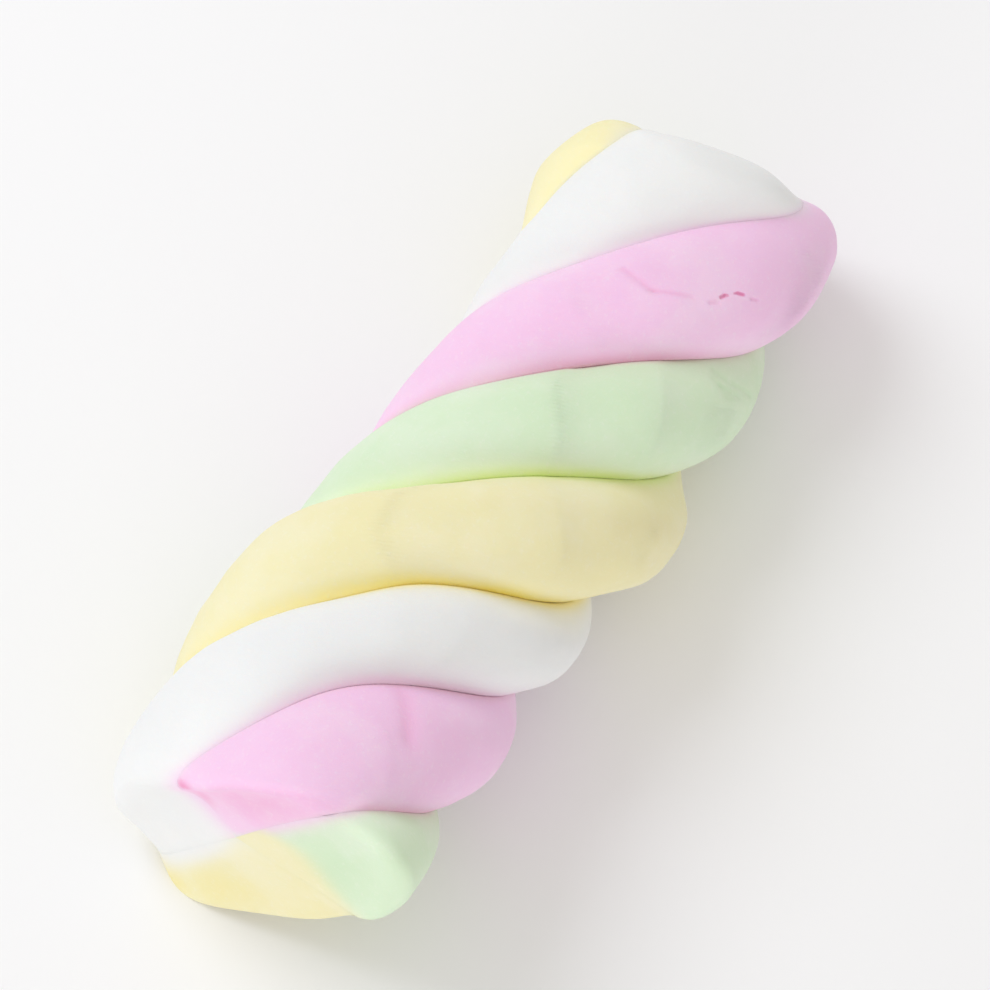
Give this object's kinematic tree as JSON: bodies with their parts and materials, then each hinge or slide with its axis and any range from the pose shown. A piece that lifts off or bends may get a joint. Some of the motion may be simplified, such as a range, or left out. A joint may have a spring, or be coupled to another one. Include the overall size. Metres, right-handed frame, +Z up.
{
  "type": "twisted marshmallow",
  "caption": "Short rope of soft marshmallow strands in white, pink, pale green and pale yellow, twisted together and cut off at both ends; a sweet that lies on its side.",
  "frame": {"origin": "on the surface that the marshmallow lies on, below the middle of its box", "axes": "+X along the rope towards its far cut, +Z up"},
  "size_m": [0.0798, 0.0308, 0.0301],
  "materials": {
    "white_foam": "soft matte marshmallow foam, off-white, dusted with fine starch",
    "pink_foam": "soft matte marshmallow foam, pale pink, dusted with fine starch, deeper pink in creases and nicks",
    "green_foam": "soft matte marshmallow foam, pale green, dusted with fine starch, yellow-green in creases",
    "yellow_foam": "soft matte marshmallow foam, pale yellow, dusted with fine starch, deeper yellow in creases"
  },
  "bodies": {
    "root": {"strand_white": "white_foam", "strand_pink": "pink_foam", "strand_green": "green_foam", "strand_yellow": "yellow_foam"}
  },
  "joints": []
}
